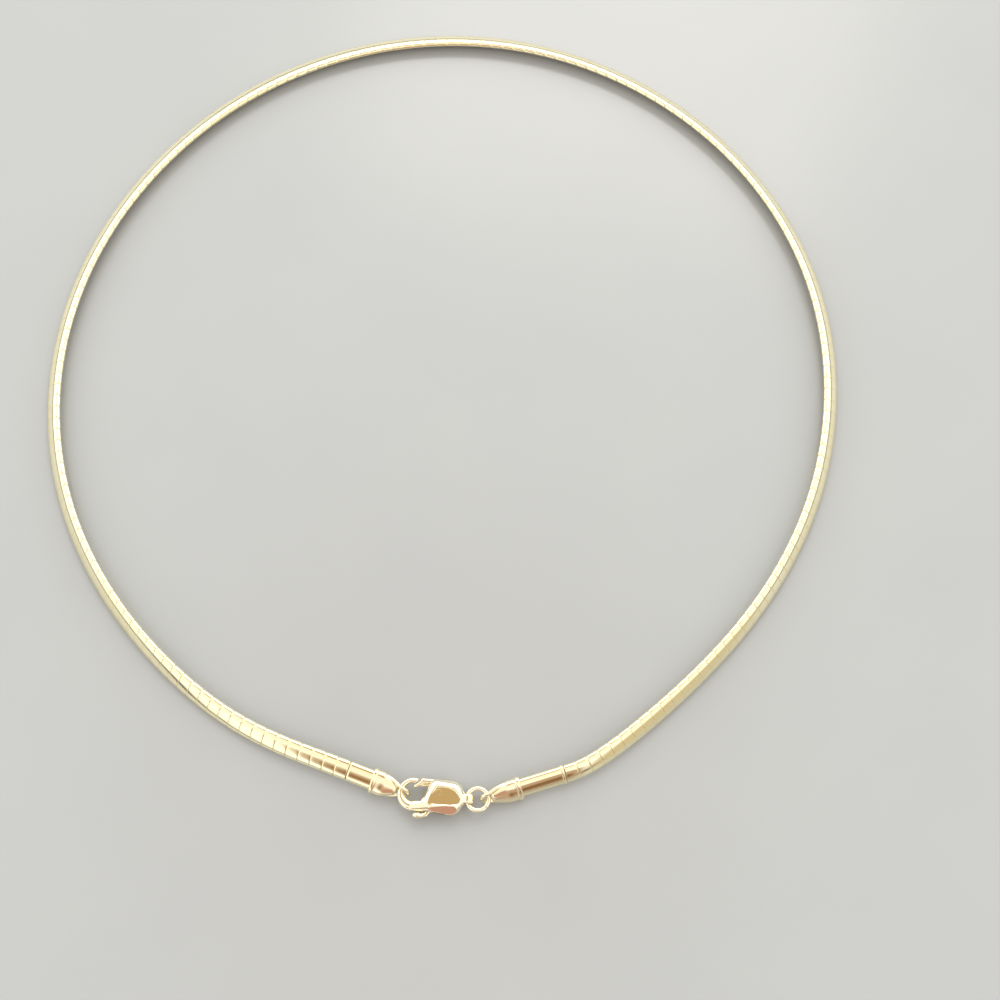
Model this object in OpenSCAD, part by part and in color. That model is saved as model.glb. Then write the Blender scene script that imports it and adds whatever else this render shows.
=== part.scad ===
// Omega necklace: domed plates side by side on a flat core strip, closed by a lobster clasp.
// The loop lies on the plane z = 0 with its clasp at -Y. The band leans like a cone, with its
// domed face up and outward. All sizes are in millimetres.

/* [Loop] */
// Radius of the loop along the middle of the band
loop_r = 64.6; // [56:0.1:90]

/* [Band] */
// Width of the band across one plate
band_w = 3.2; // [2.8:0.05:4]
// Thickness of the band from its crown to its back
band_t = 1.25; // [1.1:0.05:1.7]
// Distance from one plate to the next, before it is fitted to the loop
plate_pitch = 2; // [1.8:0.05:3]
// Gap between neighbouring plates
plate_gap = 0.17; // [0.16:0.01:0.3]
// Thickness of the sheet that a plate is stamped from
sheet_t = 0.26; // [0.2:0.01:0.32]
// Width of the slot between the two folded lips at the back
lip_slot = 1; // [0.6:0.05:1.4]
// Gap between the core strip and the sheet around it
core_gap = 0.1; // [0.08:0.01:0.14]

/* [End sleeves] */
// Length of the left sleeve that shows in front of its cap
left_sleeve_l = 3.9; // [2:0.1:10]
// Length of the right sleeve that shows in front of its cap
right_sleeve_l = 7; // [2:0.1:12]
// Length of the collar at the far end of the right sleeve
collar_l = 0.5; // [0.3:0.05:1]
// Height of that collar above the sleeve
collar_h = 0.14; // [0.08:0.01:0.25]

/* [End caps] */
// Length of the left cap from its rim to its tip
left_cap_l = 4; // [3:0.1:6]
// Length of the right cap from its rim to its tip
right_cap_l = 4.7; // [3:0.1:6]
// How far a cap's rim stands out past the edges of the band
rim_out = 0.46; // [0.3:0.05:0.6]
// How far a cap's rim stands out past the faces of the band
rim_up = 0.28; // [0.2:0.02:0.4]
// Depth of the pocket that takes the end of the sleeve
pocket_l = 0.9; // [0.6:0.05:1.4]
// Gap between the sleeve and the pocket
pocket_gap = 0.06; // [0.05:0.01:0.1]
// Lean of the left cap and the band's end in it, against lying flat
left_cap_lean = 27; // [22:1:34]
// Lean of the right cap and the band's end in it, against lying flat
right_cap_lean = 45; // [38:1:52]
// Slope of the left cap below the clasp's crosswise line, in degrees
left_slope = 21; // [12:1:28]
// Slope of the right cap above the crosswise line, in degrees
right_slope = 17; // [12:1:28]

/* [Cap loops] */
// Wire of the loop on each cap
loop_wire = 0.56; // [0.45:0.01:0.65]
// Radius of a cap's loop to the middle of its wire
loop_bend_r = 1.38; // [1.34:0.01:1.5]
// Distance from the cap's middle to each end of the loop, where it is soldered in
loop_root_r = 1.56; // [1.4:0.02:1.7]
// Lean of a cap's loop above the surface, in degrees
loop_lean = 70; // [64:1:74]
// How far the left loop lies from the middle of the hook, towards the gate
left_loop_shift = 0.25; // [0.2:0.01:0.5]
// Gap between a cap's loop and what it holds
hold_gap = 0.12; // [0.08:0.01:0.2]
// Room along a cap's loop besides that gap
loop_room = 0.34; // [0.26:0.01:0.4]

/* [Jump ring] */
// Outer diameter of the jump ring
ring_d = 4; // [3.8:0.1:5]
// Wire of the jump ring
ring_wire = 0.72; // [0.6:0.02:0.8]
// Opening at the cut of the jump ring
ring_cut = 0.08; // [0.04:0.01:0.15]

/* [Clasp] */
// Distance from the middle of the hook's bend to the tail eye
clasp_reach = 10.1; // [9.8:0.1:12]
// Thickness of the clasp at its body
clasp_t = 3.1; // [3:0.05:3.3]
// Slope of the clasp below the crosswise line, in degrees
clasp_slope = 5; // [0:0.5:10]
// Outer radius of the hook
hook_r = 2.5; // [2.3:0.05:2.6]
// Radius of the eye inside the hook
eye_r = 1.3; // [1.2:0.05:1.35]
// How far the eye lies from the hook's middle, towards the gate
eye_shift = 0.3; // [0.2:0.05:0.35]
// Width of the hook at its bend
bend_w = 1.1; // [1:0.05:1.2]
// Height of the hook at its bend
bend_h = 1; // [0.95:0.05:1.2]
// Rounding of the hook's edges
hook_round = 0.38; // [0.3:0.02:0.42]
// Outer diameter of the tail eye
tail_d = 2.1; // [2:0.05:2.4]
// Hole of the tail eye
tail_hole_d = 1.35; // [1.3:0.05:1.5]
// Length of the tail eye along its hole
tail_l = 1.4; // [1:0.1:1.6]

/* [Lever] */
// Thickness of the lever
lever_t = 0.9; // [0.8:0.05:1]
// Gap between the lever and the slot that it lies in
slot_gap = 0.1; // [0.08:0.01:0.14]
// Gap between the lever and the tip of the hook
gate_gap = 0.1; // [0.08:0.01:0.14]
// Width of the gate
gate_w = 0.78; // [0.6:0.02:0.8]
// Radius of the rivet
rivet_r = 0.42; // [0.35:0.01:0.5]
// Length of the rivet, from one face of the clasp to the other
rivet_l = 2.56; // [2.3:0.02:2.7]
// Running clearance between the rivet and the lever, on the radius
rivet_play = 0.03; // [0.02:0.01:0.06]
// Length of the thumb tab
tab_l = 1.7; // [1.4:0.1:2]
// Width of the thumb tab
tab_w = 0.9; // [0.8:0.05:1.1]
// Height of the thumb tab
tab_h = 1.5; // [1.1:0.1:1.8]

/* [Hidden] */
gold = [0.90, 0.82, 0.58];
pale_gold = [0.94, 0.88, 0.68];
warm_gold = [0.88, 0.76, 0.50];
$fn = 48;

// Shape of a plate: a rounded oval, fuller than an ellipse, with its crown above its middle
FULLNESS = 2.6;
CROWN_SHARE = 0.58;
OUTER_POINTS = 15;
INNER_POINTS = 9;

// Route of the band, seen from above and counted against the clock from +X:
// angle, radius as a share of loop_r, lean of the band in degrees
ROUTE = [
    [-60, 0.989, 46],
    [-40, 0.974, 53],
    [-20, 0.981, 49],
    [  0, 0.992, 45],
    [ 20, 1.006, 44],
    [ 40, 1.008, 44],
    [ 60, 1.011, 38],
    [ 80, 1.014, 35],
    [100, 1.008, 31],
    [120, 0.999, 30],
    [140, 0.988, 36],
    [160, 0.989, 40],
    [180, 0.992, 44],
    [200, 0.991, 48],
    [220, 0.984, 51],
    [240, 0.995, 39]
];
ROUTE_STEP = ROUTE[1][0] - ROUTE[0][0];
// Middle between the two cap rims, as shares of loop_r from the middle of the loop
CLASP_AT = [0.0215, -1.0195];
// Stretch at each end over which the rims lift the band, and pieces of route to each step
LIFT_RUN = 24;
FINE = 20;

// Outline of a cap from rim to tip: share of its length, share of the rim's width and thickness
CAP_SECTIONS = [
    [0.00, 0.95, 0.92],
    [0.03, 1.00, 1.00],
    [0.14, 1.00, 1.00],
    [0.19, 0.94, 0.92],
    [0.38, 0.95, 0.96],
    [0.55, 0.86, 0.92],
    [0.72, 0.70, 0.82],
    [0.88, 0.54, 0.72],
    [0.97, 0.44, 0.62],
    [1.00, 0.30, 0.44]
];
CAP_POINTS = 24;
// Where a loop's ends enter its cap, as a share of the cap's length
LOOP_ROOT = 0.5;
// How far a loop's round end runs on over its legs, in degrees, and how much thinner these are
LOOP_RUN_ON = 5;
LEG_THINNER = 0.03;

// Length of core strip to each of its steps, and how far it runs into the sleeves as a share of them
CORE_STEP = 3;
CORE_INTO = 0.6;

// Turn of the jump ring's cut
RING_TURN = -42;

rim_w = band_w + 2 * rim_out;
rim_t = band_t + 2 * rim_up;
ring_mid_r = (ring_d - ring_wire) / 2;
clasp_z = clasp_t / 2;

// A point of a rounded oval, w wide, with its crown at +Y; the angle runs from +X
function swell(v) = sign(v) * pow(abs(v), 2 / FULLNESS);
function oval_point(w, t, a) = [
    w / 2 * swell(cos(a)),
    t * (sin(a) > 0 ? CROWN_SHARE : 1 - CROWN_SHARE) * swell(sin(a))
];
function oval(w, t, n) = [for (i = [0:n - 1]) oval_point(w, t, 360 * (i + 0.5) / n)];

// Height of a section's middle when the section leans and rests on the surface
function rest_height(outline, lean) = -min([for (p = outline) p.x * sin(lean) + p.y * cos(lean)]);

// Section of one plate: outside from one lip to the other, then back along the inside
function slot_half_angle(w) = asin(pow(lip_slot / w, FULLNESS / 2));
function open_arc(w, t, n) = let (h = slot_half_angle(w))
    [for (i = [0:n - 1]) oval_point(w, t, -90 + h + (360 - 2 * h) * i / (n - 1))];
function reversed(list) = [for (i = [len(list) - 1:-1:0]) list[i]];
inside_w = band_w - 2 * sheet_t;
inside_t = band_t - 2 * sheet_t;
plate_outline = concat(open_arc(band_w, band_t, OUTER_POINTS),
                       reversed(open_arc(inside_w, inside_t, INNER_POINTS)));

// The core strip fills the flat middle of the plate's inside
core_w = inside_w * 0.84 - 2 * core_gap;
core_t = inside_t * 0.74 - 2 * core_gap;

// Places of the clasp parts, worked out from the middle of the hook's bend
function heading(a) = [cos(a), sin(a)];
left_cap_reach = left_cap_l + bend_w / 2 + hold_gap;
right_cap_reach = right_cap_l + ring_wire / 2 + hold_gap;
hook_to_tail = clasp_reach * heading(-clasp_slope);
hook_to_ring = hook_to_tail + ring_mid_r * heading(-clasp_slope / 2);
hook_to_right_loop = hook_to_ring + ring_mid_r * heading(right_slope / 2);
hook_to_left_rim = [0, left_loop_shift] - left_cap_reach * heading(-left_slope);
hook_to_right_rim = hook_to_right_loop + right_cap_reach * heading(right_slope);
hook_at = CLASP_AT * loop_r - (hook_to_left_rim + hook_to_right_rim) / 2;
left_rim_at = hook_at + hook_to_left_rim;
right_rim_at = hook_at + hook_to_right_rim;
ring_at = hook_at + hook_to_ring;
left_end = left_rim_at - left_sleeve_l * heading(-left_slope);
right_end = right_rim_at + right_sleeve_l * heading(right_slope);
cap_z = rest_height(oval(rim_w, rim_t, 72), right_cap_lean);

// The route is a smooth spline. Its control points lie a little outside the curve that they draw
spline_swell = 1 + pow(ROUTE_STEP * PI / 180, 2) / 6;
function route_point(row) = let (r = loop_r * row[1] * spline_swell)
    [r * cos(row[0]), r * sin(row[0]), row[2]];
END_STEP = 4;
function to_controls(p, lean) = [p.x, p.y, lean];
right_start = to_controls(right_end, right_cap_lean);
right_next = to_controls(right_end + END_STEP * heading(right_slope), right_cap_lean);
left_stop = to_controls(left_end, left_cap_lean);
left_before = to_controls(left_end - END_STEP * heading(-left_slope), left_cap_lean);
controls = concat([2 * right_start - right_next, right_start, right_next],
                  [for (row = ROUTE) route_point(row)],
                  [left_before, left_stop, 2 * left_stop - left_before]);
function spline(p, q, r, s, t) = (
    pow(1 - t, 3) * p
    + (3 * pow(t, 3) - 6 * pow(t, 2) + 4) * q
    + (-3 * pow(t, 3) + 3 * pow(t, 2) + 3 * t + 1) * r
    + pow(t, 3) * s) / 6;
route = concat(
    [for (i = [1:len(controls) - 3]) for (k = [0:FINE - 1])
        spline(controls[i - 1], controls[i], controls[i + 1], controls[i + 2], k / FINE)],
    [left_stop]);

// Length along the route, and what lies there
function step_length(i) = i < len(route)
    ? norm([route[i].x - route[i - 1].x, route[i].y - route[i - 1].y])
    : 0;
lengths = [for (i = 0, s = 0; i < len(route); i = i + 1, s = s + step_length(i)) s];
route_l = lengths[len(lengths) - 1];
x_at = [for (i = [0:len(route) - 1]) [lengths[i], route[i].x]];
y_at = [for (i = [0:len(route) - 1]) [lengths[i], route[i].y]];
lean_at = [for (i = [0:len(route) - 1]) [lengths[i], route[i].z]];
AHEAD = 0.8;
function turn(s) = let (a = max(0, s - AHEAD), b = min(route_l, s + AHEAD))
    atan2(lookup(b, y_at) - lookup(a, y_at), lookup(b, x_at) - lookup(a, x_at));
band_oval = oval(band_w, band_t, 72);
function ease(v) = let (c = min(1, max(0, v))) c * c * (3 - 2 * c);
function lift(to_end, lean) = (cap_z - rest_height(band_oval, lean)) * ease(1 - to_end / LIFT_RUN);
function height(s) = rest_height(band_oval, lookup(s, lean_at))
    + lift(s, right_cap_lean) + lift(route_l - s, left_cap_lean);

// The plates fill the route evenly
plate_count = round(route_l / plate_pitch);
pitch = route_l / plate_count;
half_count = floor(plate_count / 2);
function plate_middle(i) = (i + 0.5) * pitch;

// Places within the clasp, from the middle of the hook's bend: +X to the tail, +Y to the gate
hook_mid = [hook_r - bend_w / 2, 0];
eye_mid = [eye_r + bend_w / 2, eye_shift];
eye_top = eye_shift + eye_r;
eye_low = eye_shift - eye_r;
pivot = [0.57 * clasp_reach, 0.21 * hook_r];
pivot_boss_r = 1;
tip_swing_r = 0.36 * clasp_reach;
tab_mid = [0.29 * clasp_reach, -hook_r - slot_gap - tab_w / 2];
slot_front = 0.37 * clasp_reach;
slot_back = pivot.x + 1.2 * pivot_boss_r;
arm_w = 0.6;
arm_end = [slot_front + slot_gap + arm_w / 2, tab_mid.y];
tail_mid = [clasp_reach + 0.08, 0];

// Swellings that the clasp's body is blended from: place along clasp_reach and across hook_r,
// radius as a share of hook_r, height as a share of clasp_t
BODY = [
    [0.535,  0.54, 0.46, 0.80],
    [0.455, -0.46, 0.54, 0.76],
    [0.762,  0.17, 0.81, 1.00],
    [0.760, -0.34, 0.74, 0.96],
    [0.916,  0.00, 0.34, 0.60]
];
// Corners of the lever around its boss, as shares of hook_r from the pivot
LEVER = [[-0.17, 0.79], [0.33, 0.25], [-0.17, -0.33], [-0.42, 0.17], [-0.58, 0.43]];

function swelling_at(row) = [row[0] * clasp_reach, row[1] * hook_r];
front_top = swelling_at(BODY[0]);
front_low = swelling_at(BODY[1]);

// Middle of the box around the necklace, so that the origin lies in its middle
spread = [for (i = [0:4:len(route) - 1])
    let (s = lengths[i], h = turn(s), lean = lookup(s, lean_at))
    for (p = band_oval)
        let (out = -p.x * cos(lean) + p.y * sin(lean))
        [lookup(s, x_at) + out * sin(h), lookup(s, y_at) - out * cos(h)]];
low_x = min([for (p = spread) p.x]);
high_x = max([for (p = spread) p.x]);
tab_foot = tab_mid + [(tab_l - tab_w) / 2, 0];
low_y = hook_at.y + min(tab_foot.y * cos(clasp_slope) - tab_foot.x * sin(clasp_slope) - tab_w / 2,
                        arm_end.y * cos(clasp_slope) - arm_end.x * sin(clasp_slope) - arm_w / 2);
high_y = max([for (p = spread) p.y]);
box_mid = [(low_x + high_x) / 2, (low_y + high_y) / 2];

// Places its children on the band, with +X towards the upper inner edge, +Y out of the domed
// face and +Z along the route
module on_band(at, z, turned, lean) {
    translate([at.x - box_mid.x, at.y - box_mid.y, z])
        rotate([90, 0, turned + 90])
            rotate([0, 0, lean])
                children();
}

// Places its children at the left or the right cap, with +Z from the rim to the tip
module at_left_cap() {
    on_band(left_rim_at, cap_z, -left_slope, left_cap_lean)
        children();
}
module at_right_cap() {
    on_band(right_rim_at, cap_z, right_slope, right_cap_lean)
        mirror([0, 0, 1])
            children();
}

// Places its children in the clasp, at the middle of its thickness
module at_clasp() {
    translate([hook_at.x - box_mid.x, hook_at.y - box_mid.y, clasp_z])
        rotate([0, 0, -clasp_slope])
            children();
}

module plate(i) {
    s = plate_middle(i);
    on_band([lookup(s, x_at), lookup(s, y_at)], height(s), turn(s), lookup(s, lean_at))
        linear_extrude(pitch - plate_gap, center = true)
            polygon(plate_outline);
}

module plates_right() {
    color(gold)
        for (i = [0:half_count - 1])
            plate(i);
}

module plates_left() {
    color(gold)
        for (i = [half_count:plate_count - 1])
            plate(i);
}

// Skin of a body drawn through rings of points, all with as many points, closed at both ends
module loft(rings) {
    n = len(rings[0]);
    last = len(rings) - 1;
    sides = [for (r = [0:last - 1]) for (i = [0:n - 1]) let (j = (i + 1) % n)
        [r * n + i, (r + 1) * n + i, (r + 1) * n + j, r * n + j]];
    ends = [[for (i = [0:n - 1]) i], [for (i = [n - 1:-1:0]) last * n + i]];
    polyhedron(points = [for (ring = rings) each ring], faces = concat(sides, ends));
}

// The core runs from inside one sleeve to inside the other
function core_ring(s) = let (
    inner = min(route_l, max(0, s)),
    past = s - inner,
    h = turn(inner),
    lean = lookup(inner, lean_at),
    x = lookup(inner, x_at) + past * cos(h) - box_mid.x,
    y = lookup(inner, y_at) + past * sin(h) - box_mid.y)
    [for (c = [[-1, -1], [1, -1], [1, 1], [-1, 1]]) let (
        u = c.x * core_w / 2,
        v = c.y * core_t / 2,
        out = -u * cos(lean) + v * sin(lean))
        [x + out * sin(h), y - out * cos(h), height(inner) + u * sin(lean) + v * cos(lean)]];

module core_strip() {
    steps = ceil(route_l / CORE_STEP);
    color(warm_gold)
        loft(concat([core_ring(-right_sleeve_l * CORE_INTO)],
                    [for (i = [0:steps]) core_ring(route_l * i / steps)],
                    [core_ring(route_l + left_sleeve_l * CORE_INTO)]));
}

// Tube with the band's section, from z = 0 along +Z
module sleeve_tube(length) {
    linear_extrude(length)
        difference() {
            polygon(oval(band_w, band_t, 24));
            polygon(oval(inside_w, inside_t, 24));
        }
}

sleeve_in = pocket_l - pocket_gap;

module left_sleeve() {
    color(pale_gold)
        at_left_cap()
            translate([0, 0, -left_sleeve_l + plate_gap / 2])
                sleeve_tube(left_sleeve_l - plate_gap / 2 + sleeve_in);
}

module right_sleeve() {
    color(pale_gold)
        at_right_cap()
            translate([0, 0, -right_sleeve_l + plate_gap / 2]) {
                sleeve_tube(right_sleeve_l - plate_gap / 2 + sleeve_in);
                linear_extrude(collar_l)
                    difference() {
                        polygon(oval(band_w + 2 * collar_h, band_t + 2 * collar_h, 24));
                        polygon(oval(inside_w, inside_t, 24));
                    }
            }
}

// Straight piece of wire from p to q
module wire(p, q, d) {
    v = q - p;
    translate(p)
        rotate([0, acos(v.z / norm(v)), atan2(v.y, v.x)])
            cylinder(h = norm(v), d = d, $fn = 24);
}

// Wire loop with its round end towards +Z and its inside reaching up to z = far. The legs start
// in the cap's own plane, and the round end is turned from it
module cap_loop(root, far, twist) {
    bend_z = far + loop_wire / 2 - loop_bend_r;
    translate([0, 0, bend_z])
        rotate([90, LOOP_RUN_ON, twist])
            rotate_extrude(angle = 180 + 2 * LOOP_RUN_ON)
                translate([loop_bend_r, 0])
                    circle(d = loop_wire, $fn = 24);
    for (side = [-1, 1])
        wire([side * loop_root_r, 0, root],
             [side * loop_bend_r * cos(twist), side * loop_bend_r * sin(twist), bend_z],
             loop_wire - LEG_THINNER);
}

// Cap from its rim at z = 0 to its tip at z = length, with a pocket and a loop around what it holds
module cap(length, held, lean) {
    difference() {
        loft([for (row = CAP_SECTIONS)
            [for (p = oval(rim_w * row[1], rim_t * row[2], CAP_POINTS)) [p.x, p.y, row[0] * length]]]);
        translate([0, 0, -1])
            linear_extrude(1 + pocket_l)
                polygon(oval(band_w + 2 * pocket_gap, band_t + 2 * pocket_gap, 24));
    }
    cap_loop(length * LOOP_ROOT, length + held + 2 * hold_gap + loop_room, loop_lean - lean);
}

module left_cap() {
    color(pale_gold)
        at_left_cap()
            cap(left_cap_l, bend_w, left_cap_lean);
}

module right_cap() {
    color(pale_gold)
        at_right_cap()
            cap(right_cap_l, ring_wire, right_cap_lean);
}

module jump_ring() {
    cut_angle = 2 * asin(ring_cut / 2 / ring_mid_r);
    color(gold)
        translate([ring_at.x - box_mid.x, ring_at.y - box_mid.y, clasp_z])
            rotate([0, 0, RING_TURN])
                rotate_extrude(angle = 360 - cut_angle)
                    translate([ring_mid_r, 0])
                        circle(d = ring_wire, $fn = 24);
}

// Round-edged disc for the hook, and the hole through it with edges rounded the other way
module hook_disc(r, h) {
    e = hook_round;
    rotate_extrude()
        polygon(concat([[0, -h / 2]],
            [for (a = [-90:22.5:0]) [r - e + e * cos(a), -h / 2 + e + e * sin(a)]],
            [for (a = [0:22.5:90]) [r - e + e * cos(a), h / 2 - e + e * sin(a)]],
            [[0, h / 2]]));
}
module hook_eye(r, h) {
    e = hook_round;
    rotate_extrude()
        polygon(concat([[0, -h / 2 - 1], [r + e, -h / 2 - 1]],
            [for (a = [0:22.5:90]) [r + e - e * sin(a), -h / 2 + e - e * cos(a)]],
            [for (a = [90:-22.5:0]) [r + e - e * sin(a), h / 2 - e + e * cos(a)]],
            [[r + e, h / 2 + 1], [0, h / 2 + 1]]));
}

// Round-edged pebble, a building block of the clasp's body
module pebble(at, r, h) {
    e = min(r, h / 2) * 0.62;
    translate([at.x, at.y, 0])
        rotate_extrude($fn = 32)
            polygon(concat([[0, -h / 2]],
                [for (a = [-90:22.5:90]) [r - e + e * cos(a), (h / 2 - e) * sign(a) + e * sin(a)]],
                [[0, h / 2]]));
}

module swelling(row) {
    pebble(swelling_at(row), row[2] * hook_r, row[3] * clasp_t);
}

// Flat link between two round ends
module link(p, q, wp, wq) {
    d = (q - p) / norm(q - p);
    side = [-d.y, d.x];
    translate(p)
        circle(d = wp);
    translate(q)
        circle(d = wq);
    polygon([p + side * wp / 2, q + side * wq / 2, q - side * wq / 2, p - side * wp / 2]);
}

module clasp_body() {
    stem_w = hook_r + eye_low;
    slot_h = lever_t + 2 * slot_gap;
    color(pale_gold)
        at_clasp()
            difference() {
                union() {
                    // The hook's bend, cut off at its tip
                    difference() {
                        translate([hook_mid.x, hook_mid.y, 0])
                            hook_disc(hook_r, bend_h);
                        translate([eye_mid.x, eye_mid.y, 0])
                            hook_eye(eye_r, bend_h);
                        intersection() {
                            translate([pivot.x, pivot.y, 0])
                                cylinder(h = clasp_t, r = tip_swing_r, center = true, $fn = 96);
                            translate([0, eye_low, -clasp_t])
                                cube([pivot.x, hook_r * 2, clasp_t * 2]);
                        }
                    }
                    // The stem, which swells towards the body
                    hull() {
                        pebble([hook_mid.x, stem_w / 2 - hook_r], stem_w / 2, bend_h);
                        swelling(BODY[1]);
                    }
                    // The body, thickest in its middle
                    hull()
                        for (row = BODY)
                            swelling(row);
                    // The tail eye
                    translate([tail_mid.x, tail_mid.y, 0])
                        rotate([90, 0, 0])
                            cylinder(h = tail_l, d = tail_d, center = true);
                }
                // The eye runs on to the slanted front of the body
                translate([0, 0, -clasp_t])
                    linear_extrude(clasp_t * 2)
                        polygon([[eye_mid.x, eye_low], [front_low.x - BODY[1][2] * hook_r, eye_low],
                                 [front_top.x - BODY[0][2] * hook_r, eye_top], [eye_mid.x, eye_top]]);
                // Slot for the lever, open to the front, the gate's side and the tab's side
                translate([slot_front, -2 * hook_r, -slot_h / 2])
                    cube([slot_back - slot_front, 4 * hook_r, slot_h]);
                // Hole for the rivet
                translate([pivot.x, pivot.y, 0])
                    cylinder(h = clasp_t * 2, r = rivet_r, center = true);
                // Hole of the tail eye
                translate([tail_mid.x, tail_mid.y, 0])
                    rotate([90, 0, 0])
                        cylinder(h = tail_l * 3, d = tail_hole_d, center = true);
            }
}

module clasp_lever() {
    gate_r = tip_swing_r - gate_gap;
    gate_low = hook_r - gate_w;
    nose_top = eye_top - 2 * gate_gap;
    nose_w = 0.6 * gate_w;
    nose_l = 0.6 * gate_w;
    top_a = 180 - asin((hook_r - pivot.y) / gate_r);
    nose_a = 180 - asin((nose_top - pivot.y) / gate_r);
    gate_x = pivot.x + gate_r * cos(top_a);
    nose_x = pivot.x + gate_r * cos(nose_a);
    color(warm_gold)
        at_clasp()
            difference() {
                union() {
                    linear_extrude(lever_t, center = true) {
                        // The gate, whose end swings past the hook's tip, with a nose behind that tip
                        polygon(concat(
                            [for (i = [4:-1:0]) pivot + gate_r * heading(top_a + (nose_a - top_a) * i / 4)],
                            [for (corner = LEVER) pivot + corner * hook_r],
                            [[gate_x + gate_w, gate_low],
                             [nose_x + nose_l, nose_top - nose_w],
                             [nose_x - nose_l, nose_top - nose_w],
                             [nose_x - nose_l, nose_top]]));
                        translate(pivot)
                            circle(r = pivot_boss_r);
                        link(pivot, arm_end, 1.5 * arm_w, arm_w);
                        link(arm_end, tab_mid, arm_w, tab_w);
                    }
                    // The thumb tab
                    linear_extrude(tab_h, center = true)
                        link(2 * tab_mid - tab_foot, tab_foot, tab_w, tab_w);
                }
                translate([pivot.x, pivot.y, 0])
                    cylinder(h = clasp_t * 2, r = rivet_r + rivet_play, center = true);
            }
}

module clasp_rivet() {
    color(gold)
        at_clasp()
            translate([pivot.x, pivot.y, 0])
                cylinder(h = rivet_l, r = rivet_r, center = true);
}

plates_right();
plates_left();
core_strip();
left_sleeve();
right_sleeve();
left_cap();
right_cap();
jump_ring();
clasp_body();
clasp_lever();
clasp_rivet();
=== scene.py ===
import math
import random

import bmesh
import bpy
import numpy as np
from mathutils import Matrix, Vector


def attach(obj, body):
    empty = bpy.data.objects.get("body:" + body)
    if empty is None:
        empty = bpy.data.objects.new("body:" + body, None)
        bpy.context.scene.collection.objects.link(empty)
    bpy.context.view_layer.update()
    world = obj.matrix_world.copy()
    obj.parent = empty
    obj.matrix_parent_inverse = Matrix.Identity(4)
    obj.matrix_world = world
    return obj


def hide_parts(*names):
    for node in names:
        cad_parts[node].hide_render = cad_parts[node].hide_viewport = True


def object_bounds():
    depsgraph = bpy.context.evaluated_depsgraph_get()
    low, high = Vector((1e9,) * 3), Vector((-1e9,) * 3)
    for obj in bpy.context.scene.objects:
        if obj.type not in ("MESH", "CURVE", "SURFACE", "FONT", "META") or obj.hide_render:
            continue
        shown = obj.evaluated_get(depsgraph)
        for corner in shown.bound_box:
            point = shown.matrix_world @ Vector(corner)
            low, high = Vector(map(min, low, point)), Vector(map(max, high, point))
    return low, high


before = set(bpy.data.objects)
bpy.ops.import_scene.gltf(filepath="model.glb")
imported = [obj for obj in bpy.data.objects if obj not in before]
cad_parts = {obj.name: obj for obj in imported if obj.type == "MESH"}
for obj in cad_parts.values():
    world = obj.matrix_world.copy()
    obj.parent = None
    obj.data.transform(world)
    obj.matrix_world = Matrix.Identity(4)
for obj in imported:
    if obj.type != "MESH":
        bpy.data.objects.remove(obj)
cad_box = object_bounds()

# The band: domed plates stamped from 14 carat yellow gold sheet, set side by side over a flat core
# with their lips folded at the back. It is swept in two halves that meet at the front. The plates
# are fused at hairline seams, and each is crowned and tilted by a hair, as plates set by hand are.
MM = 0.001
LOOP_R = 64.6
LOOP_MIDDLE = np.array([-0.0289, 2.1418])
BAND_W = 3.2
BAND_T = 1.25
SHEET_T = 0.26
INSIDE_W = BAND_W - 2 * SHEET_T
INSIDE_T = BAND_T - 2 * SHEET_T
LIP_SLOT = 1.0
PLATE_PITCH = 2.0
# the section is fuller than an ellipse, with its crown above its middle
FULLNESS = 2.6
CROWN_SHARE = 0.58
# angle round the loop in degrees, radius as a share of LOOP_R, lean of the band in degrees
ROUTE = [
    (-60, 0.989, 46), (-40, 0.974, 53), (-20, 0.981, 49), (0, 0.992, 45), (20, 1.006, 44),
    (40, 1.008, 44), (60, 1.011, 38), (80, 1.014, 35), (100, 1.008, 31), (120, 0.999, 30),
    (140, 0.988, 36), (160, 0.989, 40), (180, 0.992, 44), (200, 0.991, 48), (220, 0.984, 51),
    (240, 0.995, 39),
]
ROUTE_STEP = 20
ROUTE_PIECES = 20
# the two sleeves and the rims of the caps that hold them: length, place, height, slope and lean
LEFT_SLEEVE_L = 3.9
RIGHT_SLEEVE_L = 7.0
LEFT_RIM = np.array([-9.9578, -63.1587])
RIGHT_RIM = np.array([12.6777, -64.2772])
CAP_Z = 1.6273
LEFT_SLOPE = 21
RIGHT_SLOPE = 17
LEFT_CAP_LEAN = 27
RIGHT_CAP_LEAN = 45
# how far the band runs straight on from a sleeve, the stretch over which the caps lift it, and the
# stretch each way over which its heading is taken
STRAIGHT_L = 4
LIFT_RUN = 24
SIGHT = 0.8
# place in a plate from its seam, how deep its face lies there below the crown, and how far its
# rounded corners leave the band's edge, all in mm
PLATE_RINGS = [
    (0, 0.07, 0.05), (0.035, 0.025, 0.04), (0.07, 0.006, 0.025), (0.12, 0.003, 0.01),
    (0.2, 0.0015, 0), (0.6, 0, 0), (1.4, 0, 0), (1.8, 0.0015, 0), (1.88, 0.003, 0.01),
    (1.93, 0.006, 0.025), (1.965, 0.025, 0.04),
]
# the most that a plate is set off the line, in mm, and rolled about it, in degrees
SET_OFF = 0.004
SET_ROLL = 0.25
FACE_POINTS = 56
INSIDE_POINTS = 12
REST_STEP = 5
WELD = 1e-4
SMUDGE_MM = 6
random_hand = random.Random(14)


def heading(degrees):
    return np.array([math.cos(math.radians(degrees)), math.sin(math.radians(degrees))])


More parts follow.
